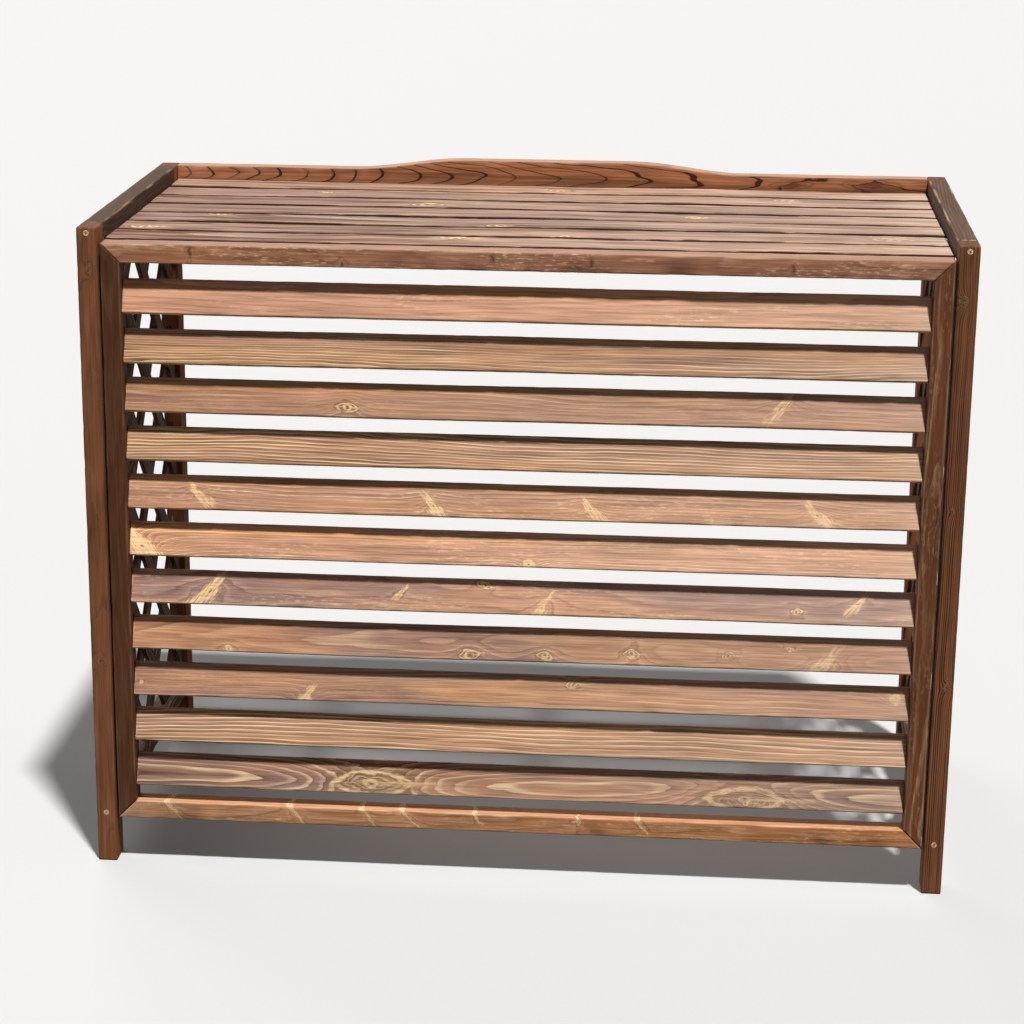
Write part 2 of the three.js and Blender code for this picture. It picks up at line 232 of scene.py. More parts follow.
FRAME_BOARDS = {
    "front_top_rail": Board(
        (10, -40), 10, 3.4, 0.5, 1.08,
        ((-223, -8, 4), (-34, 4, 5), (83, 1, 5), (329, -2, 5), (-410, 4, 4)),
        0.8, 1, 0.9,
    ),
    "front_bottom_rail": Board(
        (-14, -30), 10, 3.8, 0.45, 1.04,
        ((448, -2, 8, FALLING), (287, -2, 7, FALLING), (191, -2, 6, FALLING), (139, -2, 7, FALLING),
         (50, -7, 5, FALLING), (-81, -5, 6), (-161, -5, 6, FALLING)),
        0.2, 0.6, 0.2,
    ),
    "front_left_stile": Board((8, -50), 8, 3.2, 0.08, 0.66, (), 0.2, 0.05),
    "front_right_stile": Board((4, -24), 14, 3.6, 0.3, 1.08, (), 0.2, 0.5),
}
POST_BOARDS = {
    "left_front_post": Board((3, 34), 14, 3.4, 0.6, 1.12, ((365, 3, 4), (-144, -2, 5)), 0.2, 0.2),
    "right_front_post": Board(
        (24, -10), 30, 2.4, 1.6, 1.06, ((352, -6, 6), (-139, 4, 5), (90, -2, 4)), 0.2, 0.1
    ),
    "left_back_post": Board((6, -30), 10, 3.4, 0.35, 1, ((120, 3, 6),)),
    "right_back_post": Board((-8, -26), 12, 3.6, 0.35, 0.97, ((-40, -3, 7),)),
}
SIDE_RAIL_BOARDS = {
    "left_top_rail": Board((24, -50), 6, 3.2, 0.1, 0.72, (), 0.7, 0.05, 0.12),
    "right_top_rail": Board((-20, -44), 8, 3.4, 0.15, 0.95, (), 0.1, 0.1, 0.12),
}
BACK_RAIL_BOARD = Board((15, -68), -27, 1.5, 4.2, 1.08, ((338, 11, 11), (448, 12, 14)), 0.2, 0, 0.6)


# First numbers of the boards that are cut anywhere, far enough apart that no two sticks share one
SIDE_RAILS_FROM, BATTENS_FROM = 40, 60
LATTICES_FROM = {"left": 80, "right": 110}


def any_board(number):
    """A stick cut anywhere from the tree, always the same one for a number."""
    pick = random.Random(number)
    knots = tuple(
        (pick.uniform(-220, 220), pick.uniform(-8, 8), pick.uniform(4, 7))
        for _ in range(pick.randint(0, 2))
    )
    pith = (pick.uniform(-40, 40), -pick.uniform(16, 70))
    lean, rings, pale = pick.uniform(-20, 20), pick.uniform(3.0, 4.6), pick.uniform(0.2, 0.6)
    return Board(pith, lean, rings, pale, pick.uniform(0.93, 1.07), knots)


def stored_knot(along, across, radius, kind=0):
    """A knot in metres. Its kind is a whole number, with the radius, far less than one, added to it."""
    return along / 1000, across / 1000, kind + radius / 1000


def store_vectors(mesh, name, values):
    """Writes a vector onto each point of the mesh."""
    attribute = mesh.attributes.new(name, "FLOAT_VECTOR", "POINT")
    attribute.data.foreach_set("vector", np.array(values, np.float32).ravel())


def store_boards(mesh, boards, first_number):
    """Writes onto the mesh how each of its sticks was cut, for the wood to read."""
    numbers = np.empty(len(mesh.vertices), np.float32)
    mesh.attributes["board"].data.foreach_get("value", numbers)
    which = np.clip(np.rint(numbers).astype(int), 0, len(boards) - 1)
    columns = {
        "pith": [(b.pith[0] / 1000, b.pith[1] / 1000, b.lean / 1000) for b in boards],
        "nature": [(b.rings / 1000, b.pale, b.tone) for b in boards],
    }
    for knot in range(KNOTS):
        columns[f"knot_{knot + 1}"] = [
            stored_knot(*b.knots[knot]) if knot < len(b.knots) else NO_KNOT for b in boards
        ]
    for name, values in columns.items():
        store_vectors(mesh, name, np.array(values, np.float32)[which])
    normals = np.empty((len(mesh.vertices), 3), np.float32)
    mesh.vertex_normals.foreach_get("vector", normals.ravel())
    weather = np.array([(b.grey, b.rough, b.sky) for b in boards], np.float32)[which]
    weather[:, 2] *= np.maximum(normals[:, 2], 0)
    store_vectors(mesh, "weather", weather)
    mesh.attributes["board"].data.foreach_set("value", numbers + first_number)


# Node trees


class Value:
    """What a socket carries. Each + - * or / in a formula adds the node that works it out."""

    def __init__(self, nodes, socket):
        self.nodes, self.socket = nodes, socket

    def __add__(self, other):
        return self.nodes.math("ADD", self, other)

    def __radd__(self, other):
        return self.nodes.math("ADD", other, self)

    def __sub__(self, other):
        return self.nodes.math("SUBTRACT", self, other)

    def __rsub__(self, other):
        return self.nodes.math("SUBTRACT", other, self)

    def __mul__(self, other):
        return self.nodes.math("MULTIPLY", self, other)

    def __truediv__(self, other):
        return self.nodes.math("DIVIDE", self, other)


class Nodes:
    """Adds nodes to a tree and joins them, so that a formula takes one line."""

    def __init__(self, tree):
        self.tree = tree

    def add(self, kind, inputs=None, **settings):
        """Adds a node, with its settings first and then its inputs."""
        node = self.tree.nodes.new(kind)
        place = len(self.tree.nodes)
        node.location = (place // 8 * 200, -(place % 8) * 180)
        for name, value in settings.items():
            setattr(node, name, value)
        self.feed(node, inputs or {})
        return node

    def feed(self, node, inputs):
        """Joins values to a node's inputs, several where an input has a list, and sets plain ones."""
        for name, given in inputs.items():
            for value in given if isinstance(given, list) else [given]:
                if isinstance(value, Value):
                    self.tree.links.new(value.socket, node.inputs[name])
                else:
                    node.inputs[name].default_value = value

    def out(self, kind, inputs=None, output=0, **settings):
        """Adds a node and returns one of its outputs."""
        return Value(self, self.add(kind, inputs, **settings).outputs[output])

    def math(self, operation, *values):
        return self.out("ShaderNodeMath", dict(enumerate(values)), operation=operation)

    def vector(self, operation, *values):
        return self.out("ShaderNodeVectorMath", dict(enumerate(values)), operation=operation)

    def scaled(self, vector, factor):
        return self.out("ShaderNodeVectorMath", {0: vector, "Scale": factor}, operation="SCALE")

    def length(self, vector):
        return self.out("ShaderNodeVectorMath", {0: vector}, "Value", operation="LENGTH")

    def joined(self, x=0.0, y=0.0, z=0.0):
        return self.out("ShaderNodeCombineXYZ", {0: x, 1: y, 2: z})

    def split(self, vector):
        return [Value(self, socket) for socket in self.add("ShaderNodeSeparateXYZ", {0: vector}).outputs]

    def size(self, value):
        return self.math("ABSOLUTE", value)

    def least(self, first, second):
        return self.math("MINIMUM", first, second)

    def most(self, first, *others):
        for other in others:
            first = self.math("MAXIMUM", first, other)
        return first

    def ease(self, value, start, end, low=0.0, high=1.0):
        """Goes smoothly from low to high as the value goes from start to end."""
        inputs = {"Value": value, "From Min": start, "From Max": end, "To Min": low, "To Max": high}
        return self.out("ShaderNodeMapRange", inputs, interpolation_type="SMOOTHSTEP")

    def mix(self, factor, first, second):
        return self.out("ShaderNodeMix", {0: factor, 6: first, 7: second}, 2, data_type="RGBA")

    def noise(self, vector, detail, output="Fac"):
        return self.out("ShaderNodeTexNoise", {"Vector": vector, "Scale": 1.0, "Detail": detail}, output)

    def bump(self, height, strength, depth):
        return self.out("ShaderNodeBump", {"Strength": strength, "Distance": depth, "Height": height})


def begin_tree(name, kind, inputs, outputs):
    """Makes a node group. A socket's default number also gives its kind, or else a word names the kind."""
    tree = bpy.data.node_groups.new(name, kind)
    for way, sockets in (("INPUT", inputs), ("OUTPUT", outputs)):
        for socket_name, default in sockets.items():
            worded = isinstance(default, str)
            socket_kind = default if worded else {int: "Int", float: "Float"}[type(default)]
            socket = tree.interface.new_socket(
                socket_name, in_out=way, socket_type=f"NodeSocket{socket_kind}"
            )
            if not worded:
                socket.default_value = default
    n = Nodes(tree)
    return n, {socket.name: Value(n, socket) for socket in n.add("NodeGroupInput").outputs}


def begin_material(name):
    material = bpy.data.materials.new(name)
    material.use_nodes = True
    return material, Nodes(material.node_tree)


def feed_shader(n, **inputs):
    """Feeds the material's shader, whose inputs are named here with _ in place of a space."""
    shader = n.tree.nodes["Principled BSDF"]
    n.feed(shader, {name.replace("_", " "): value for name, value in inputs.items()})


# Wood

WOOD_INPUTS = {
    "Brown": "Color",
    "Dark": "Color",
    "Pale": "Color",
    "Cream": "Color",
    "Grey": "Color",
    "Gold": "Color",
    "Golden": 0.0,  # golden bands, and gold round the knots
    "Greying": 0.5,
    "Flecks": 0.8,  # pale flecks where the hard grain is broken
    "Knot length": 1.1,
    "Knot height": 1.0,
    "Halo": 1.0,  # cream in and round the knots
    "End tone": 0.75,  # brightness of the end grain
    "Side tone": 1.0,  # darkening of the narrow sides, for stain gathered there and painted shade in the gaps beside them
    "Fade": 0.0,  # painted light, brightening towards one end of the stick
    "Wander": 1.0,  # how far the rings leave a circle
    "Edge wear": 0.4,
    "Gathered": 0.8,  # stain in the soft grain
    "Streaks": 0.6,  # from dark streaks at 0 to none at 1
    "Line start": 0.48,  # share of a year ring before its hard grain
    "Ragged": 0.45,  # how ragged the hard grain's edges are
    "Coarse": 1.0,  # fineness of the fibres, less is coarser
    "Core": 0.22,  # dark middle of a knot, as a share of its radius
    "Bleached": "Color",
    "Sky": 0.0,  # bleaching of what faces upwards
    "Swell": 1.7,  # how far a knot pushes the rings aside
    "Bend": 0.0,  # how far the pith bends from a straight line, in a metre
    "Uneven": 0.12,
    "Half width": 9.0,  # from a stick's middle to its edges, darkened by stain and painted shade beside the gaps, far outside it for none
}
FAR = 9.0  # further from a knot than any place in a stick
SLANT = 0.8  # how far a flame leans along the stick
POINT = 0.75  # how far a knot's outline is drawn out into points


def wood_group():
    """Softwood cut from round rings: pale hard grain, gathered stain, knots, grey, chips and end grain,
    with painted light towards one end and painted shade on the narrow sides and the edges.
    """
    outputs = {"Color": "Color", "Roughness": "Float", "Height": "Float"}
    n, given = begin_tree("Stained softwood", "ShaderNodeTree", WOOD_INPUTS, outputs)

    def attribute(name, output="Vector"):
        return n.out("ShaderNodeAttribute", None, output, attribute_name=name)

    grain, board = attribute("grain"), attribute("board", "Fac")
    along, across, deep = n.split(grain)
    pith_across, pith_deep, lean = n.split(attribute("pith"))
    ring_width, paleness, tone = n.split(attribute("nature"))
    greying, broken, sky = n.split(attribute("weather"))
    arris, end, side = n.split(attribute("edge"))
    apart = n.scaled((7.31, 3.17, 1.93), board)

    def noise(fineness, detail=2.0, shift=(0, 0, 0), output="Fac"):
        """Noise with so many waves in a metre along, across and into the stick, shifted off the others."""
        place = n.vector("MULTIPLY_ADD", grain, fineness, n.vector("ADD", apart, shift))
        return n.noise(place, detail, output)

    def wander(fineness, reach, shift=(0, 0, 0)):
        """How far a place is moved along and across, in metres."""
        middle = n.vector("SUBTRACT", noise(fineness, 1.0, shift, "Color"), (0.5, 0.5, 0.5))
        return n.split(n.scaled(middle, reach))

    slow = wander((1.9, 9, 9), given["Wander"] * 0.030)
    quick = wander((11, 50, 50), given["Wander"] * 0.0027 + 0.0018, (3, 1, 7))
    flow = wander((30, 60, 60), 0.012, (5, 5, 1))
    curl = wander((120, 230, 230), 0.004, (2, 7, 3))
    sunk = lean * along + along * along * given["Bend"]
    from_pith = n.joined(
        across - pith_across + slow[0] + quick[0],
        deep - pith_deep + sunk * -1.0 + slow[1] + quick[1],
    )
    radius = n.length(from_pith)
    tear = noise((60, 160, 160), 2.0, (4, 4, 4))
    torn = (tear - 0.5) * 0.8

    def strokes(slope):
        """Thin strokes across the grain at a slope, for the flames."""
        slanted = (along + across * slope) * 560.0
        return n.noise(n.joined(slanted, across * 70.0, board), 2.0)

    rising, falling = strokes(-SLANT), strokes(SLANT)

    # Knots. nearest and middle are for plain ones, heart for all, and solid for flames and domes
    lift, near, tails, solid = 0.0, 0.0, 0.0, 0.0
    nearest, middle, heart = FAR, FAR, FAR
    for number in range(KNOTS):
        knot_along, knot_across, stored = n.split(attribute(f"knot_{number + 1}"))
        kind = n.math("ROUND", stored)
        knot_radius = stored - kind
        flame = n.math("COMPARE", n.size(kind), RISING, 0.5)
        dome = n.math("COMPARE", kind, DOME, 0.5)
        other = (flame + dome) * FAR
        from_along = along - knot_along + flow[0] + curl[0]
        from_across = across - knot_across + flow[1] + curl[1]
        slanted = from_along - from_across * kind * flame * SLANT
        big = n.ease(knot_radius, 0.009, 0.022)
        ahead = slanted / knot_radius / given["Knot length"] * (big * -0.4 + 1.0)
        aside = from_across / knot_radius / given["Knot height"]
        size_ahead, size_aside = n.size(ahead), n.size(aside)
        round_distance = n.length(n.joined(ahead, aside))
        pointed = n.length(n.joined(ahead, size_aside + POINT))
        distance = (pointed - POINT) / POINT
        bulge = n.math("EXPONENT", distance * -0.7)
        lift = bulge * knot_radius * given["Swell"] + lift
        near = bulge + near
        nearest = n.least(distance + other, nearest)
        eye = round_distance * (big * 1.4 + 1.0)
        middle = n.least(eye + other, middle)
        heart = n.least(eye, heart)
        tail = n.ease(size_aside, 0.16, 0.05) * n.ease(size_ahead, 3.2, 1.0) * n.ease(ahead, -2.0, 1.5)
        tails = n.most(tail - other, tails)
        wedge = n.joined(ahead * n.ease(aside, -2.0, 2.0, 0.7, 1.6), aside * 0.45)
        upwards = n.math("GREATER_THAN", kind, 0.0)
        stroke = n.math("MULTIPLY_ADD", upwards, rising - falling, falling)
        feathered = n.length(wedge) + torn + (0.5 - stroke) * 2.2
        flame = flame * n.ease(feathered, 1.15, 0.7) * n.ease(stroke, 0.36, 0.56, 0.45, 1.0)
        dome = dome * n.ease(round_distance + torn * 0.3, 1.05, 0.85)
        solid = n.most(flame, dome, solid)
    near = n.least(near, 1.0)
    rim = n.ease(nearest, 0.66, 0.84) * n.ease(nearest, 1.12, 0.96)
    shade = n.ease(nearest, 0.98, 1.12) * n.ease(nearest, 1.5, 1.2)
    ring_inside = n.ease(middle, 0.24, 0.36) * n.ease(middle, 0.66, 0.5)
    inside = n.ease(nearest, 1.0, 0.75)
    core = n.ease(heart, given["Core"], given["Core"] * 0.5)
    resin = n.most(rim, ring_inside, tails * 0.8) * n.ease(tear, 0.38, 0.5, 0.25, 1.0)

    def threads(fineness, thinness, shift=(0, 0, 0)):
        """Noise drawn out along the stick, as coarse as its fibres."""
        thin = given["Coarse"] * thinness
        return noise(n.joined(fineness, thin, thin), 3.0, shift)

    # Year rings
    fibre, streak = threads(15.0, 420.0), threads(4.0, 130.0, (5, 2, 9))
    patch = n.ease(noise((3.1, 24, 24), 2.0, (1, 8, 4)), 0.36, 0.62)
    count = (radius + lift) / ring_width + (streak - 0.5) * given["Ragged"]
    phase, ring = n.math("FRACT", count), n.math("FLOOR", count)
    ring_seed = {"W": ring * 1.37 + board * 5.1}
    own = n.out("ShaderNodeTexWhiteNoise", ring_seed, "Value", noise_dimensions="1D")
    line_peak = n.ease(given["Line start"], 0.0, 1.0, 0.7, 0.98)
    line = n.ease(phase, given["Line start"], line_peak) * n.ease(phase, 1.0, 0.96)
    strength = n.ease(own, 0.1, 0.9, 0.3, 1.0)
    hollow = n.ease(phase, 0.26, 0.06) * strength * n.least(paleness * 0.6 + 0.4, 1.0)
    clumps = n.ease(noise((55, 330, 330), 2.0, (7, 4, 1)), 0.46, 0.58)
    whole = (clumps - 1.0) * broken + 1.0
    shown = line * strength * (patch * 0.6 + 0.4) * paleness * whole

    # Weather and wear, with painted light and painted shade
    bands = n.ease(noise((0.9, 45, 45), 2.0, (4, 9, 5)), 0.42, 0.6)
    golden = n.most(bands, near * 0.9) * given["Golden"] * (greying * -0.7 + 1.1)
    streaks = (1.0 - given["Streaks"]) * n.ease(paleness, 0.0, 1.3, 0.45, 1.7)
    greyed = n.ease(noise((2.3, 14, 14), 3.0, (9, 9, 2)), 0.42, 0.62)
    flecks = n.ease(noise((95, 420, 420), 5.0, (2, 6, 6)), 0.53, 0.66)
    flecked = n.most(n.ease(noise((6, 40, 40), 2.0, (8, 3, 3)), 0.46, 0.6), near)
    worn = n.ease(noise((16, 110, 110), 2.0, (6, 1, 1)), 0.42, 0.62)
    # Painted light: brighter towards one end of the stick, for light that falls more strongly there
    painted_light_end = n.ease(along, -0.5, 0.6) + n.ease(along, 0.44, 0.53)
    from_edge = given["Half width"] - n.size(across)
    eaten = (noise((14, 60, 60), 3.0, (3, 3, 3)) - 0.45) * 0.026
    # Painted shade and dark stain along the edges beside the gaps between slats
    gap_stain_and_shade = n.ease(from_edge - eaten, 0.0018, 0.0)
    cloud = noise((5, 36, 36), 4.0, (6, 2, 8)) - 0.5

    coats = (
        (golden, "Gold"),
        (n.ease(streak, 0.3, 0.56, 1.0, 0.0) * streaks, "Dark"),
        (greyed * greying * given["Greying"], "Grey"),
        (hollow * (patch * -0.4 + 1.0) * given["Gathered"], "Dark"),
        (shown, "Pale"),
        (flecks * flecked * n.most(broken, near * 0.7) * given["Flecks"], "Pale"),
        (n.most(shade, inside) * 0.45, "Dark"),
        (n.most(resin, solid * 0.95) * given["Halo"], "Cream"),
        (core * 0.7, "Dark"),
        (arris * worn * given["Edge wear"], "Pale"),
        # Painted light brightens one end of the stick in the bleached colour; the sky share is bleaching of
        # what faces upwards
        (n.most(painted_light_end * given["Fade"], sky * given["Sky"]), "Bleached"),
    )
    colour = given["Brown"]
    for share, coat in coats:
        colour = n.mix(share, colour, given[coat])
    # Darkens the edge bands with painted shade and stain
    colour = n.mix(gap_stain_and_shade * 0.75, colour, n.scaled(given["Dark"], 0.5))
    bright = tone * (cloud * given["Uneven"] * 4.0 + 1.0) * n.ease(fibre, 0.3, 0.7, 0.8, 1.2)
    # Gathered stain and painted shade darken the narrow sides
    bright = bright * (side * (given["Side tone"] - 1.0) + 1.0)
    bright = bright * (1.0 + end * (given["End tone"] - 1.0))

    ridge = line * n.least(paleness, 1.0) * 0.5
    height = ridge + fibre * 0.5 + streak * 0.4 + core * -0.6 + inside * 0.4
    rough = fibre * 0.12 + line * -0.1 + 0.8
    n.add("NodeGroupOutput", {"Color": n.scaled(colour, bright), "Roughness": rough, "Height": height})
    return n.tree


def wood(name, brown, hard=None, **character):
    """A wood of the given brown and hard grain. Its character sets the group's inputs, such as Flecks."""
    known = bpy.data.materials.get(name)
    if known:
        return known
    material, n = begin_material(name)
    shades = colours()
    stains = {"Brown": brown, "Pale": hard or shades.pale}
    for stain in ("Dark", "Cream", "Grey", "Gold", "Bleached"):
        stains[stain] = getattr(shades, stain.lower())
    inputs = {stain: (*colour, 1) for stain, colour in stains.items()}
    inputs |= {socket.replace("_", " ").capitalize(): value for socket, value in character.items()}
    group = bpy.data.node_groups.get("Stained softwood") or wood_group()
    board = n.add("ShaderNodeGroup", inputs, node_tree=group).outputs
    colour, rough, height = (Value(n, board[output]) for output in ("Color", "Roughness", "Height"))
    bump = n.bump(height, 0.5, 0.0007)
    feed_shader(n, Base_Color=colour, Roughness=rough, Normal=bump, Specular_IOR_Level=0.15)
    return material


# Sticks


def section(width, thickness, ease):
    """Points round a stick's eased section, each with its outward direction and its share of an arris."""
    reach = (width / 2 - ease, thickness / 2 - ease)
    corners = [(1, 1, 0), (-1, 1, 90), (-1, -1, 180), (1, -1, 270)]
    points = []
    for number, (sign_v, sign_w, start) in enumerate(corners):
        middle = Vector((sign_v * reach[0], sign_w * reach[1]))
        for turn in range(4):
            angle = math.radians(start + 30 * turn)
            outward = Vector((math.cos(angle), math.sin(angle)))
            points.append((middle + ease * outward, outward, 1.0))
        next_v, next_w, _ = corners[(number + 1) % 4]
        far = Vector((next_v * reach[0], next_w * reach[1]))
        side = (far - middle).length
        places = [ease, side - ease] if side > 3 * ease else [side / 2]
        if side > 16 * ease:
            pieces = math.ceil(side / (8 * ease))
            places = [ease, *(side * k / pieces for k in range(1, pieces)), side - ease]
        for place in places:
            points.append((middle + (far - middle) * place / side + ease * outward, outward, 0.0))
    return points


def stick_mesh(length, width, thickness, shape=None, ease_ends=True, ease=None, step=None):
    """One eased stick along X, marked with its grain, arrises, ends and sides. shape moves its points."""
    ease, step = ease or sizes().arris, step or sizes().step
    outline = section(width, thickness, ease)
    half = length / 2
    # Each ring's place from the end, how far it is drawn in, and whether it wears as an arris does
    if ease_ends:
        start = [(0.0, 0.8, 1.0), (0.3 * ease, 0.3, 1.0), (ease, 0.0, 1.0), (2 * ease, 0.0, 0.0)]
    else:
        start = [(0.0, 0.0, 0.0), (2 * ease, 0.0, 0.0)]
    middle_length = length - 4 * ease
    count = max(2, round(middle_length / step))
    rings = [(-half + place, inset, mask) for place, inset, mask in start]
    rings += [(-half + 2 * ease + middle_length * k / count, 0.0, 0.0) for k in range(1, count)]
    rings += [(half - place, inset, mask) for place, inset, mask in reversed(start)]
    positions, edges = [], []
    for number, (along, inset, mask) in enumerate(rings):
        for point, outward, arris in outline:
            place = point - outward * inset * ease
            positions.append((along, place.x, place.y))
            end, side = number in (0, len(rings) - 1), abs(outward.x) > 0.4
            edges.append((max(arris, mask), float(end), float(side)))
    if shape:
        positions = [shape(*position) for position in positions]
    around = len(outline)
    faces = [tuple(range(around)), tuple(reversed(range(len(positions) - around, len(positions))))]
    for ring in range(len(rings) - 1):
        for k in range(around):
            a, b = ring * around + k, ring * around + (k + 1) % around
            faces.append((a, a + around, b + around, b))
    mesh = bpy.data.meshes.new("stick")
    mesh.from_pydata(positions, [], faces)
    store_vectors(mesh, "grain", positions)
    store_vectors(mesh, "edge", edges)
    tidy = bmesh.new()
    tidy.from_mesh(mesh)
    bmesh.ops.recalc_face_normals(tidy, faces=tidy.faces)
    for face in tidy.faces:
        face.smooth = len(face.verts) == 4
    tidy.to_mesh(mesh)
    tidy.free()
    return mesh


def row(n, piece, count, start, offset, **turned):
    """Copies of a piece in a straight row."""
    places = n.out("GeometryNodeMeshLine", {"Count": count, "Start Location": start, "Offset": offset})
    return n.out("GeometryNodeInstanceOnPoints", {"Points": places, "Instance": piece, **turned})


def moved(n, geometry, place, **turned):
    return n.out("GeometryNodeTransform", {"Geometry": geometry, "Translation": place, **turned})


def realised(n, geometry):
    return n.out("GeometryNodeRealizeInstances", {"Geometry": geometry})


def marked(n, geometry, name, value, kind="FLOAT_VECTOR", domain="POINT"):
    """The geometry with a value written onto it."""
    inputs = {"Geometry": geometry, "Name": name, "Value": value}
    return n.out("GeometryNodeStoreNamedAttribute", inputs, data_type=kind, domain=domain)


def finish_tree(n, geometry, material):
    """Ends a tree in real geometry with its material."""
    painted = n.out("GeometryNodeSetMaterial", {"Geometry": realised(n, geometry), "Material": material})
    n.add("NodeGroupOutput", {"Geometry": painted})
    return n.tree


def stick_tree():
    """A row of like sticks, each bowed and chipped in its own way."""
    inputs = {
        "Geometry": "Geometry",
        "Count": 1,
        "First middle": "Vector",
        "Pitch": "Vector",
        "Turn": "Rotation",
        "Bow": 0.001,
        "Wear": 0.001,
        "Seed": 1.0,
        "Material": "Material",
    }
    n, given = begin_tree("Row of sticks", "GeometryNodeTree", inputs, GEOMETRY_OUT)
    sticks = row(
        n, given["Geometry"], given["Count"], given["First middle"], given["Pitch"], Rotation=given["Turn"]
    )
    real = realised(n, marked(n, sticks, "board", n.out("GeometryNodeInputIndex"), "FLOAT", "INSTANCE"))

    def read(name, kind="FLOAT_VECTOR"):
        return n.out("GeometryNodeInputNamedAttribute", {"Name": name}, "Attribute", data_type=kind)

    grain, arris = read("grain"), n.split(read("edge"))[0]
    board = n.math("MULTIPLY_ADD", read("board", "FLOAT"), 7.7, given["Seed"])
    line = n.noise(n.joined(n.split(grain)[0] * 3.0, board), 1.0, "Color")
    middle = n.vector("SUBTRACT", line, (0.5, 0.5, 0.5))
    aside = n.vector("MULTIPLY", middle, n.joined(0.0, given["Bow"], given["Bow"] * 0.5))
    aside = n.out("FunctionNodeRotateVector", {0: aside, 1: given["Turn"]})
    bowed = n.out("GeometryNodeSetPosition", {"Geometry": real, "Offset": aside})
    rough = n.noise(n.vector("MULTIPLY_ADD", grain, (45, 160, 160), n.scaled((1, 1, 1), board)), 2.0)
    chip = n.ease(rough, 0.5, 0.8) * arris * given["Wear"] * -1.0
    inward = n.scaled(n.out("GeometryNodeInputNormal"), chip)
    worn = n.out("GeometryNodeSetPosition", {"Geometry": bowed, "Offset": inward})
    return finish_tree(n, worn, given["Material"])


def new_object(name, data):
    made = bpy.data.objects.new(name, data)
    bpy.context.collection.objects.link(made)
    return made


def grown(name, mesh, tree, inputs):
    """Runs a tree on a mesh and returns what it makes as a plain object at the origin."""
    piece = new_object(name, mesh)
    modifier = piece.modifiers.new("Build", "NODES")
    modifier.node_group = tree
    sockets = {item.name: item.identifier for item in tree.interface.items_tree if item.in_out == "INPUT"}
    for socket, value in inputs.items():
        modifier[sockets[socket]] = value
    bpy.context.view_layer.update()
    graph = bpy.context.evaluated_depsgraph_get()
    evaluated = piece.evaluated_get(graph)
    made = bpy.data.meshes.new_from_object(evaluated, preserve_all_data_layers=True, depsgraph=graph)
    if not made.polygons:
        raise RuntimeError(f"{name}: its node tree made no faces")
    piece.modifiers.remove(modifier)
    piece.data = made
    made.name = name
    bpy.data.meshes.remove(mesh)
    return piece


def middle_of(node):
    low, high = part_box(node)
    return (low + high) / 2


def size_of(node):
    low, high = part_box(node)
    return high - low


def take_place(piece, nodes, slot):
    """Puts a finished piece in the place of its CAD nodes."""
    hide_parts(*nodes)
    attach(piece, "root")


def sticks(name, nodes, mesh, axes, material, slot, boards, bow):
    """Makes a stick for each node, in a row, and puts them in the nodes' place."""
    along, face = axes
    turn = Matrix((along, face, along.cross(face))).transposed().to_euler()
    first, last = middle_of(nodes[0]), middle_of(nodes[-1])
    number = sum(map(ord, name)) % 97  # another one for each piece
    inputs = {
        "Count": len(nodes),
        "First middle": tuple(first),
        "Pitch": tuple((last - first) / max(len(nodes) - 1, 1)),
        "Turn": tuple(turn),
        "Bow": bow,
        "Wear": sizes().wear,
        "Seed": float(sizes().seed + number),
        "Material": material,
    }
    piece = grown(name, mesh, bpy.data.node_groups.get("Row of sticks") or stick_tree(), inputs)
    store_boards(piece.data, boards, number)
    take_place(piece, nodes, slot)


def stick(node, mesh, axes, material, slot, board, bow=None):
    """Makes the stick of one node."""
    bow = sizes().stick_bow if bow is None else bow
    sticks(f"{node}_wood", [node], mesh, axes, material, slot, [board], bow)


# Pieces


class Piece(bpy.types.Operator):
    """Shared by the operators that make pieces."""

    bl_options = {"REGISTER", "UNDO"}


class SCREEN_OT_posts(Piece):
    """Make the four corner posts"""

    bl_idname = "screen.posts"
    bl_label = "Posts"

    def execute(self, context):
        grain = {"greying": 0.05, "flecks": 0.0, "halo": 0.12, "core": 0.4, "wander": 0.6, "edge_wear": 0.3}
        material = wood("Post wood", colours().posts, colours().arcs, sky=0.08, end_tone=0.55, **grain)
        for node, board in POST_BOARDS.items():
            size = size_of(node)
            stick(node, stick_mesh(size.z, size.x, size.y), (Z, X), material, "side_wood", board)
        return {"FINISHED"}


class SCREEN_OT_side_rails(Piece):
    """Make the top and bottom rails of the two sides"""

    bl_idname = "screen.side_rails"
    bl_label = "Side rails"

    def execute(self, context):
        material = wood("Side rail wood", colours().side_rails, greying=0.3, halo=0.1, flecks=0.15, sky=0.3)
        for number, node in enumerate(SIDE_RAIL_NODES):
            size = size_of(node)
            board = SIDE_RAIL_BOARDS.get(node) or any_board(SIDE_RAILS_FROM + number)
            stick(node, stick_mesh(size.y, size.z, size.x), (Y, Z), material, "side_wood", board)
        return {"FINISHED"}


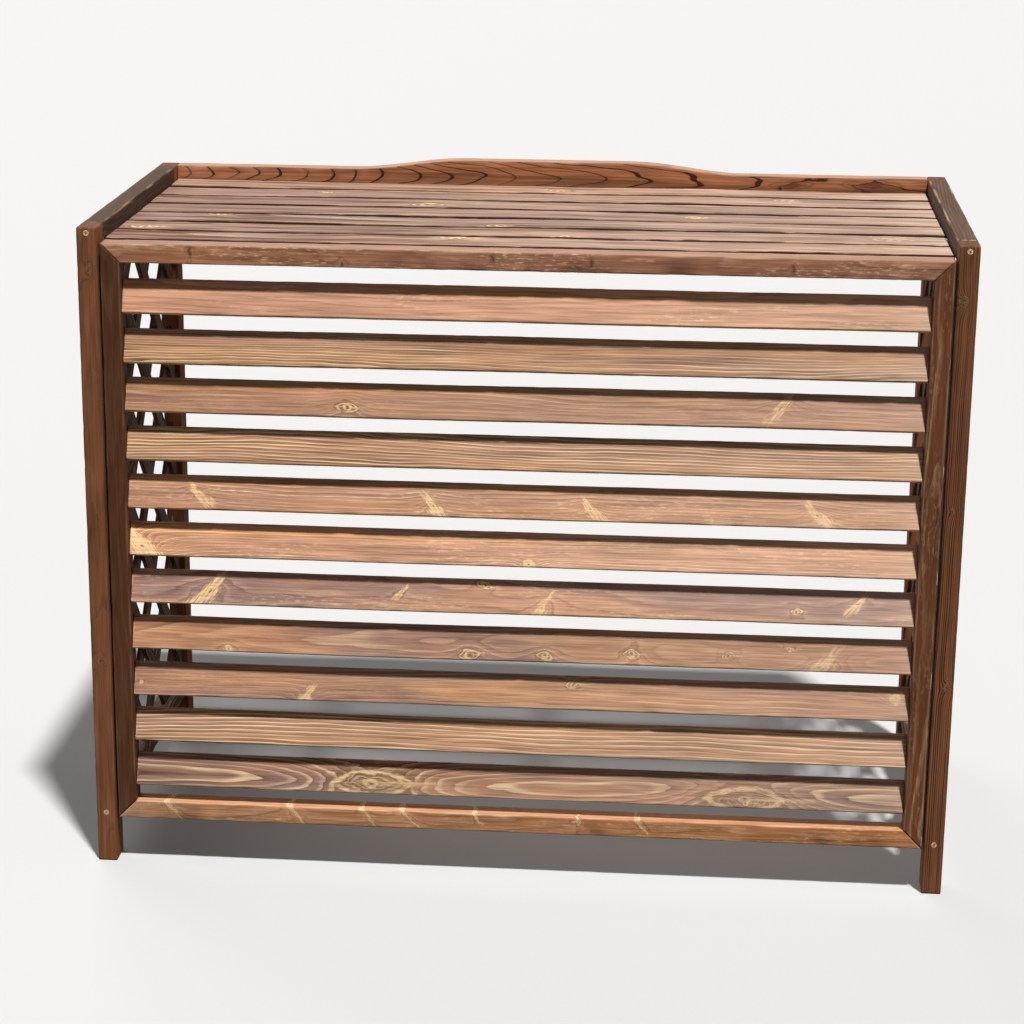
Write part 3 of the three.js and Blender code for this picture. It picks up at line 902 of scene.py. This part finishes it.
class SCREEN_OT_front_frame(Piece):
    """Make the mitred frame round the louvres"""

    bl_idname = "screen.front_frame"
    bl_label = "Front frame"

    def execute(self, context):
        # Painted light brightens one end of the top and bottom rails
        grain = {"golden": 0.35, "knot_length": 0.5, "sky": 0.9, "fade": 0.2}
        weathered = {"greying": 0.2, "halo": 0.0, "core": 0.9, "knot_height": 1.4}
        weathered["bleached"] = (*colours().deck, 1)
        sheltered = {"greying": 0.0, "knot_height": 1.2, "core": 0.0}
        plain = {"greying": 0.0, "flecks": 0.3, "halo": 0.1, "edge_wear": 0.15}
        top = wood("Top rail wood", colours().top_rail, **grain, **weathered)
        bottom = wood("Bottom rail wood", colours().bottom_rail, **grain, **sheltered)
        stiles = wood("Frame stile wood", colours().stiles, **plain)
        frame_sticks = (
            ("front_top_rail", (X, Z), top),
            ("front_bottom_rail", (-X, -Z), bottom),
            ("front_left_stile", (Z, -X), stiles),
            ("front_right_stile", (-Z, X), stiles),
        )
        for node, axes, material in frame_sticks:
            size = size_of(node)
            length, width, depth = max(size), min(size.x, size.z), size.y

            def mitre(along, across, deep):
                return along * (1 - (width - 2 * across) / length), across, deep

            mesh = stick_mesh(length, width, depth, mitre, ease_ends=False)
            stick(node, mesh, axes, material, "frame_wood", FRAME_BOARDS[node])
        return {"FINISHED"}


class SCREEN_OT_louvres(Piece):
    """Make the eleven tilted louvres"""

    bl_idname = "screen.louvres"
    bl_label = "Louvres"

    def execute(self, context):
        s = sizes()
        # Painted light brightens the louvres towards one end
        material = wood("Louvre wood", colours().louvre, greying=0.85, golden=0.75, fade=0.35)
        rise = Vector((0, math.sin(s.louvre_tilt), math.cos(s.louvre_tilt)))
        mesh = stick_mesh(size_of(LOUVRE_NODES[0]).x, s.louvre_width, s.louvre_thickness)
        sticks("louvres", LOUVRE_NODES, mesh, (X, rise), material, "louvre_wood", LOUVRE_BOARDS, s.slat_bow)
        return {"FINISHED"}


class SCREEN_OT_deck(Piece):
    """Make the slatted top and the battens under it"""

    bl_idname = "screen.deck"
    bl_label = "Slatted top"

    def execute(self, context):
        s = sizes()
        grain = {"streaks": 0.1, "coarse": 0.5, "flecks": 0.6, "knot_length": 1.6, "knot_height": 1.5}
        # Painted light brightens the slats towards one end
        tones = {"golden": 0.3, "end_tone": 1.3, "side_tone": 0.3, "fade": 0.4, "uneven": 0.3}
        # The slats' narrow sides are darkened for gathered stain and for painted shade in the gaps
        material = wood(
            # half_width gives the slats dark bands along their edges: painted shade and stain beside the
            # gaps
            "Deck wood", colours().deck, colours().bleached, half_width=0.031, **grain, **tones
        )
        size = size_of(SLAT_NODES[0])
        mesh = stick_mesh(size.x, size.y, size.z)
        sticks("deck_slats", SLAT_NODES, mesh, (X, Y), material, "deck_wood", SLAT_BOARDS, s.deck_bow)
        under = wood("Batten wood", colours().back, greying=0.2, flecks=0.2)
        size = size_of(BATTEN_NODES[0])
        mesh = stick_mesh(size.y, size.x, size.z)
        boards = [any_board(BATTENS_FROM + number) for number in range(len(BATTEN_NODES))]
        sticks("deck_battens", BATTEN_NODES, mesh, (Y, -X), under, "deck_wood", boards, s.stick_bow)
        return {"FINISHED"}


class SCREEN_OT_back_rail(Piece):
    """Make the back rail with its raised middle"""

    bl_idname = "screen.back_rail"
    bl_label = "Back rail"

    def execute(self, context):
        s = sizes()
        grain = {"greying": 0.2, "flecks": 0.0, "halo": 0.0, "gathered": 0.3, "sky": 0.7}
        rings = {"wander": 0.05, "bend": 0.021, "line_start": 0.82, "ragged": 0.12}
        knots = {"core": 0.9, "knot_length": 1.8, "knot_height": 0.6, "swell": 0.15}
        material = wood("Back rail wood", colours().back, colours().arcs, **grain, **rings, **knots)
        size = size_of("back_rail")
        straight = size.z - s.crown_rise

        def crown(along, across, deep):
            share = (s.crown_half_span - abs(along)) / (s.crown_half_span - s.crown_half_flat)
            share = min(max(share, 0), 1)
            rise = s.crown_rise * share * share * (3 - 2 * share)
            lifted = (across + straight / 2) / straight * (straight + rise) - size.z / 2
            return along, lifted, deep

        mesh = stick_mesh(size.x, straight, size.y, crown)
        stick("back_rail", mesh, (X, Z), material, "back_wood", BACK_RAIL_BOARD, 0)
        return {"FINISHED"}


# Lattice

LAYERS = (("Rising", 1, 0.0), ("Falling", -1, 12.0))  # name, sign of the slope, number of the first board
STRIP_ARRIS, STRIP_STEP = 0.0008, 0.02  # a strip has smaller arrises and fewer rings than other sticks
OPENING_DEPTH = 0.1  # of the block that cuts the strips off, far deeper than they are


def lattice_layer_group():
    """Parallel strips at one slope, cut to the opening, with their grain marked."""
    inputs = {
        "Strip": "Geometry",
        "Count": 8,
        "First strip": 0.0,
        "Pitch": 0.1,
        "Slope": 0.0,
        "Middle": "Vector",
        "Opening": "Vector",
        "Opening middle": "Vector",
        "First board": 0.0,
    }
    n, given = begin_tree("Lattice layer", "GeometryNodeTree", inputs, GEOMETRY_OUT)
    start, pitch = n.joined(0.0, 0.0, given["First strip"]), n.joined(0.0, 0.0, given["Pitch"])
    strips = row(n, given["Strip"], given["Count"], start, pitch)
    sloped = realised(n, moved(n, strips, given["Middle"], Rotation=n.joined(given["Slope"])))
    opening = moved(n, n.out("GeometryNodeMeshCube", {"Size": given["Opening"]}), given["Opening middle"])
    both = {"Mesh 2": [sloped, opening]}
    cut = n.out("GeometryNodeMeshBoolean", both, operation="INTERSECT", solver="MANIFOLD")

    centred = n.vector("SUBTRACT", n.out("GeometryNodeInputPosition"), given["Middle"])
    back = {"Vector": centred, "Rotation": n.joined(given["Slope"] * -1.0)}
    deep, along, across = n.split(n.out("ShaderNodeVectorRotate", back, rotation_type="EULER_XYZ"))
    number = n.math("ROUND", (across - given["First strip"]) / given["Pitch"])
    middle = n.math("MULTIPLY_ADD", number, given["Pitch"], given["First strip"])
    geometry = marked(n, cut, "grain", n.joined(along, across - middle, deep))
    geometry = marked(n, geometry, "board", number + given["First board"], "FLOAT")
    geometry = marked(n, geometry, "edge", (0.0, 0.0, 0.0))
    n.add("NodeGroupOutput", {"Geometry": geometry})
    return n.tree


def lattice_tree():
    """Both layers of one side."""
    layer_group = lattice_layer_group()
    inputs = {"Geometry": "Geometry", "Pitch": 0.1, "Opening": "Vector", "Opening middle": "Vector"}
    for layer, _, _ in LAYERS:
        inputs |= {f"{layer} count": 8, f"{layer} first": 0.0, f"{layer} middle": "Vector"}
    inputs["Material"] = "Material"
    n, given = begin_tree("Lattice", "GeometryNodeTree", inputs, GEOMETRY_OUT)
    layers = []
    for layer, sign, first_board in LAYERS:
        fed = {name: given[name] for name in ("Pitch", "Opening", "Opening middle")}
        fed |= {"Strip": given["Geometry"], "Slope": sign * math.pi / 4, "First board": first_board}
        for name, own in (("Count", "count"), ("First strip", "first"), ("Middle", "middle")):
            fed[name] = given[f"{layer} {own}"]
        layers.append(n.out("GeometryNodeGroup", fed, node_tree=layer_group))
    both = n.out("GeometryNodeJoinGeometry", {0: layers})
    return finish_tree(n, both, given["Material"])


def lattice_rows(sign, length, height):
    """The first strip's place and the number of strips, leaving out one that only clips a corner."""
    s = sizes()
    reach = height + length
    rows = math.ceil(reach / s.lattice_pitch)
    kept = []
    for number in range(-rows, rows):
        place = (number + 0.5) * s.lattice_pitch
        shift = math.copysign(1, place) * (sign * s.lattice_back - s.lattice_up)
        corner = (reach / 2 + shift) / math.sqrt(2)
        if 2 * (corner - abs(place)) + s.strip_width >= s.lattice_pitch:
            kept.append(place)
    return kept[0], len(kept)


class SCREEN_OT_lattices(Piece):
    """Make the lattice of each side"""

    bl_idname = "screen.lattices"
    bl_label = "Lattices"

    def execute(self, context):
        s = sizes()
        # The dark lattice brown is painted shade
        material = wood("Lattice wood", colours().lattice, greying=0.3, flecks=0.2, halo=0.3)
        tree = bpy.data.node_groups.get("Lattice") or lattice_tree()
        for side in SIDES:
            node = f"{side}_lattice"
            middle, size = middle_of(node), size_of(node)
            outward = math.copysign(1, middle.x)
            strip_sizes = size.y + size.z, s.strip_width, s.strip_thickness
            strip = stick_mesh(*strip_sizes, ease=STRIP_ARRIS, step=STRIP_STEP)
            strip.transform(Matrix((Y, Z, X)).transposed().to_4x4())
            inputs = {
                "Pitch": s.lattice_pitch,
                "Opening": (OPENING_DEPTH, size.y, size.z),
                "Opening middle": tuple(middle),
                "Material": material,
            }
            for layer, sign, _ in LAYERS:
                first, count = lattice_rows(sign, size.y, size.z)
                aside = outward * sign * (s.strip_thickness - s.strip_lap) / 2
                inputs[f"{layer} first"] = first
                inputs[f"{layer} count"] = count
                inputs[f"{layer} middle"] = tuple(middle + Vector((aside, s.lattice_back, s.lattice_up)))
            piece = grown(f"{side}_lattice_wood", strip, tree, inputs)
            first = LATTICES_FROM[side]
            boards = [any_board(number) for number in range(first, first + 24)]
            store_boards(piece.data, boards, 70 + 5 * outward)  # so that the sides' noise differs
            take_place(piece, [node], "lattice_wood")
        return {"FINISHED"}


# Screws


def steel(name, colour):
    """Zinc with fine scratches and a little rust in patches."""
    material, n = begin_material(name)
    place = n.out("ShaderNodeTexCoord", None, "Object")
    scratch = n.noise(n.scaled(place, 2600.0), 3.0)
    dirt = n.ease(n.noise(n.scaled(place, 700.0), 2.0), 0.45, 0.65)
    zinc = n.mix(dirt * 0.7, (*colour, 1), (*colours().rust, 1))
    rough = n.ease(scratch, 0.3, 0.7, 0.28, 0.5)
    feed_shader(n, Base_Color=zinc, Roughness=rough, Normal=n.bump(scratch, 0.3, 0.0001), Metallic=0.9)
    return material


def bridge(body, first, second):
    """Joins two loops of points by faces."""
    for k in range(len(first)):
        following = (k + 1) % len(first)
        body.faces.new((first[k], first[following], second[following], second[k]))


def screw_mesh():
    """A countersunk screw along Y, its head's face at the origin, with a cross pressed into a low dome."""
    s = sizes()
    head, shank = s.screw_head / 2, s.screw_shank / 2
    rings = (  # place along the screw and radius there, from the middle of the head to the point
        (-0.0002, 0.55 * head),
        (-0.00005, 0.86 * head),
        (0.0003, head),
        (0.0008, head),
        (0.0042, shank),
        (s.screw_length - 0.004, shank),
        (s.screw_length, 0.0003),
    )
    sides = 32
    turns = [2 * math.pi * k / sides for k in range(sides)]
    body = bmesh.new()
    loops = [
        [body.verts.new((radius * math.cos(turn), place, radius * math.sin(turn))) for turn in turns]
        for place, radius in rings
    ]
    for first, second in zip(loops, loops[1:]):
        bridge(body, first, second)
    body.faces.new(loops[-1])

    arm, half, depth = 0.5 * head, 0.00055, 0.0014
    cross, quarter = [], [(half, half), (arm, half), (arm, -half)]
    for _ in range(4):
        cross += quarter
        quarter = [(z, -x) for x, z in quarter]
    rim = [body.verts.new((x, rings[0][0], z)) for x, z in cross]
    floor = [body.verts.new((x * 0.7, depth, z * 0.7)) for x, z in cross]
    bridge(body, rim, floor)
    body.faces.new(floor)
    edges = [body.edges.get(ends) for loop in (rim, loops[0]) for ends in zip(loop, loop[1:] + loop[:1])]
    bmesh.ops.triangle_fill(body, edges=edges, use_beauty=True)
    bmesh.ops.recalc_face_normals(body, faces=body.faces)
    mesh = bpy.data.meshes.new("screw")
    body.to_mesh(mesh)
    body.free()
    return mesh


def screw_tree():
    """Four screws at the corners of a rectangle, each turned its own way."""
    inputs = {"Geometry": "Geometry", "Spread": 1.0, "Rise": 0.8}
    inputs |= {"Middle": "Vector", "Material": "Material"}
    n, given = begin_tree("Screws", "GeometryNodeTree", inputs, GEOMETRY_OUT)
    size = {"Size X": given["Spread"], "Size Y": given["Rise"], "Vertices X": 2, "Vertices Y": 2}
    grid = n.out("GeometryNodeMeshGrid", size)
    corners = moved(n, grid, given["Middle"], Rotation=(math.pi / 2, 0, 0))
    roll = n.out("FunctionNodeRandomValue", {2: 0.0, 3: math.pi, "Seed": 4}, 1, data_type="FLOAT")
    placed = {"Points": corners, "Instance": given["Geometry"], "Rotation": n.joined(0.0, roll, 0.0)}
    return finish_tree(n, n.out("GeometryNodeInstanceOnPoints", placed), given["Material"])


class SCREEN_OT_screws(Piece):
    """Make the four screws in the front posts"""

    bl_idname = "screen.screws"
    bl_label = "Screws"

    def execute(self, context):
        corners = [middle_of(node) for node in SCREW_NODES]
        low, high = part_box(SCREW_NODES[0])
        middle = sum(corners, Vector()) / 4
        inputs = {
            "Spread": max(c.x for c in corners) - min(c.x for c in corners),
            "Rise": max(c.z for c in corners) - min(c.z for c in corners),
            "Middle": (middle.x, low.y, middle.z),
            "Material": steel("Screw steel", colours().steel),
        }
        piece = grown("screws", screw_mesh(), screw_tree(), inputs)
        take_place(piece, SCREW_NODES, "screw_steel")
        return {"FINISHED"}


# Stage

CAMERA_PLACE = (0.2198, -3.5455, 1.4091)
CAMERA_TURN = (72.7227, -0.3052, 5.2362)
CAMERA_SHIFT = (0.0519, 0.0771)
CAMERA_REACH = 200  # metres
SENSOR_WIDTH = 36  # millimetres
LIGHT_DIRECTION = (-0.2, 0.385, -1.0)
BACK_DIRECTION = (0.6, -1.0, -0.5)
BACK_SOFTNESS = math.radians(45)
SKY_COLOUR = (0.96, 0.98, 1.0, 1)
SKY_SHOWN = 0.86  # brightness of the ground behind, as the camera sees it
FLOOR_HALF = 40.0  # metres


def seen_directly(n):
    """One for what the camera sees, also in metal, and zero for what only throws light."""
    light = n.add("ShaderNodeLightPath").outputs
    rays = (Value(n, light[f"Is {kind} Ray"]) for kind in ("Camera", "Glossy", "Transmission"))
    return n.most(*rays)


class SCREEN_OT_stage(Piece):
    """Make the floor, the light and the camera"""

    bl_idname = "screen.stage"
    bl_label = "Stage"

    def execute(self, context):
        scene, stage = context.scene, context.scene.screen_stage
        scene.view_settings.view_transform = "Standard"

        mesh = bpy.data.meshes.new("floor")
        corners = [(x * FLOOR_HALF, y * FLOOR_HALF, 0) for x, y in ((-1, -1), (1, -1), (1, 1), (-1, 1))]
        mesh.from_pydata(corners, [], [(0, 1, 2, 3)])
        material, n = begin_material("Floor")
        speckle = n.noise(n.scaled(n.out("ShaderNodeTexCoord", None, "Object"), 300.0), 2.0)
        pale = Vector(colours().floor)
        shown = n.mix(speckle, (*(pale * 0.97), 1), (*pale, 1))
        feed_shader(n, Base_Color=n.mix(seen_directly(n), (*colours().bounce, 1), shown), Roughness=0.9)
        mesh.materials.append(material)
        new_object("floor", mesh)

        lamps = (
            ("key", stage.key, stage.softness, LIGHT_DIRECTION),
            ("back", stage.back, BACK_SOFTNESS, BACK_DIRECTION),
        )
        for name, strength, softness, direction in lamps:
            lamp = new_object(name, bpy.data.lights.new(name, "SUN"))
            lamp.data.energy = strength
            lamp.data.angle = softness
            lamp.rotation_euler = Vector(direction).to_track_quat("-Z", "Y").to_euler()

        world = scene.world = bpy.data.worlds.new("world")
        world.use_nodes = True
        n = Nodes(world.node_tree)
        strength = n.ease(seen_directly(n), 0.0, 1.0, stage.fill, SKY_SHOWN)
        n.feed(world.node_tree.nodes["Background"], {"Color": SKY_COLOUR, "Strength": strength})

        camera = scene.camera = new_object("camera", bpy.data.cameras.new("camera"))
        camera.data.lens = stage.lens
        camera.data.sensor_width = SENSOR_WIDTH
        camera.data.shift_x, camera.data.shift_y = CAMERA_SHIFT
        camera.data.clip_end = CAMERA_REACH
        camera.location = CAMERA_PLACE
        camera.rotation_euler = [math.radians(angle) for angle in CAMERA_TURN]
        return {"FINISHED"}


# Add-on

OPERATORS = (
    SCREEN_OT_posts,
    SCREEN_OT_side_rails,
    SCREEN_OT_lattices,
    SCREEN_OT_front_frame,
    SCREEN_OT_louvres,
    SCREEN_OT_deck,
    SCREEN_OT_back_rail,
    SCREEN_OT_screws,
    SCREEN_OT_stage,
)


class SCREEN_PT_panel(bpy.types.Panel):
    """Lists the operators in the order in which they run"""

    bl_idname = "SCREEN_PT_panel"
    bl_label = "Air conditioner screen"
    bl_space_type = "VIEW_3D"
    bl_region_type = "UI"
    bl_category = "Screen"

    def draw(self, context):
        for operator in OPERATORS:
            self.layout.operator(operator.bl_idname)


GROUPS = {"screen_sizes": ScreenSizes, "screen_colours": ScreenColours, "screen_stage": ScreenStage}


def register():
    for name, group in GROUPS.items():
        bpy.utils.register_class(group)
        setattr(bpy.types.Scene, name, PointerProperty(type=group))
    for cls in (*OPERATORS, SCREEN_PT_panel):
        bpy.utils.register_class(cls)


def unregister():
    for cls in reversed((*OPERATORS, SCREEN_PT_panel)):
        bpy.utils.unregister_class(cls)
    for name, group in GROUPS.items():
        delattr(bpy.types.Scene, name)
        bpy.utils.unregister_class(group)


def main():
    """Makes every piece and the stage."""
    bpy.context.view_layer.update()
    register()
    for operator in OPERATORS:
        group, name = operator.bl_idname.split(".")
        getattr(getattr(bpy.ops, group), name)()


if __name__ == "__main__":
    main()
